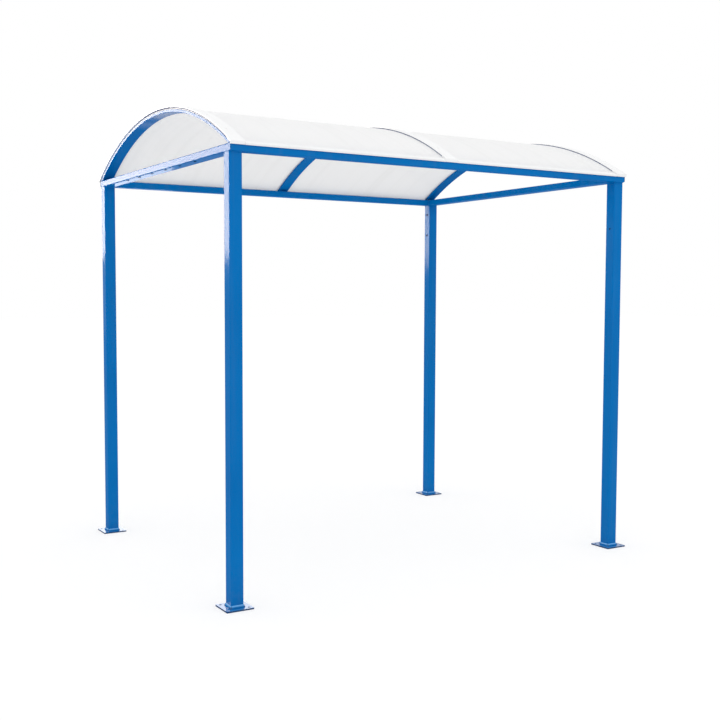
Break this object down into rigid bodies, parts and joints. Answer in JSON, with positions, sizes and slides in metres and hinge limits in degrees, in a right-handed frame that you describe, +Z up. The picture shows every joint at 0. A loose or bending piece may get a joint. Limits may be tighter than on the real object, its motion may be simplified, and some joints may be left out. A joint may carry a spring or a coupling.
{
  "type": "bike shelter",
  "caption": "Open bike shelter: square posts on base plates carry a mitred tube ring and rolled arches under a barrel roof of translucent sheets with capping strips.",
  "frame": {"origin": "middle of the plan on the ground, under the base plates", "axes": "+X along the front to the right, +Y from front to back, +Z up"},
  "size_m": [2.75, 2.15, 2.647],
  "materials": {
    "blue_paint": "glossy blue powder coat on steel tube",
    "opal_sheet": "opal cellular polycarbonate",
    "seal_rubber": "dark sealing strip",
    "white_strip": "white coated aluminium strip"
  },
  "bodies": {
    "root": {"front_left_post": "blue_paint", "front_left_base_plate": "blue_paint", "front_right_post": "blue_paint", "front_right_base_plate": "blue_paint", "back_left_post": "blue_paint", "back_left_base_plate": "blue_paint", "back_right_post": "blue_paint", "back_right_base_plate": "blue_paint", "front_rail": "blue_paint", "back_rail": "blue_paint", "left_end_rail": "blue_paint", "right_end_rail": "blue_paint", "left_arch": "blue_paint", "left_seal": "seal_rubber", "left_capping_strip": "white_strip", "middle_arch": "blue_paint", "middle_seal": "seal_rubber", "middle_capping_strip": "white_strip", "right_arch": "blue_paint", "right_seal": "seal_rubber", "right_capping_strip": "white_strip", "left_roof_sheet": "opal_sheet", "right_roof_sheet": "opal_sheet", "front_left_eave_trim": "white_strip", "front_right_eave_trim": "white_strip", "back_left_eave_trim": "white_strip", "back_right_eave_trim": "white_strip"}
  },
  "joints": []
}
